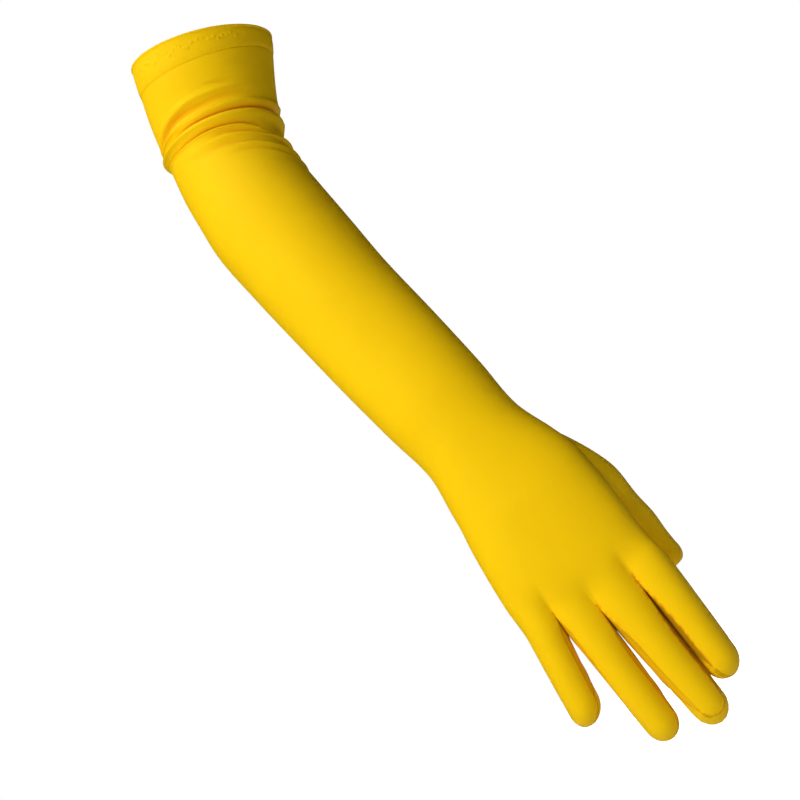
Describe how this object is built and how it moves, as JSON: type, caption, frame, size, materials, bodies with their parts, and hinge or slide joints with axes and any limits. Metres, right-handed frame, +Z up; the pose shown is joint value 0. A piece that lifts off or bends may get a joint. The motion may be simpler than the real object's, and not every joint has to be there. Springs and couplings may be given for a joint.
{
  "type": "long dance glove",
  "caption": "Thin stretch-knit glove that reaches past the elbow, kept in its worn shape: open cuff with a turned hem, gathered elbow, straight fingers and thumb.",
  "frame": {"origin": "the middle of the cuff's mouth", "axes": "+Z up the straight forearm towards the elbow, with the fingers down at -Z; -Y out of the back of the hand; +X to the thumb side. The short upper sleeve leans to +X and -Y at the elbow."},
  "size_m": [0.1223, 0.0977, 0.4941],
  "materials": {
    "back_panel": "matt stretch knit with a faint sheen",
    "palm_panel": "matt stretch knit with a faint sheen",
    "fourchette_index_middle": "matt stretch knit with a faint sheen",
    "fourchette_middle_ring": "matt stretch knit with a faint sheen",
    "fourchette_ring_little": "matt stretch knit with a faint sheen",
    "thumb": "matt stretch knit with a faint sheen",
    "hem_band": "matt stretch knit with a faint sheen"
  },
  "bodies": {
    "root": {"back_panel": "back_panel", "palm_panel": "palm_panel", "fourchette_index_middle": "fourchette_index_middle", "fourchette_middle_ring": "fourchette_middle_ring", "fourchette_ring_little": "fourchette_ring_little", "thumb": "thumb", "hem_band": "hem_band"}
  },
  "joints": []
}
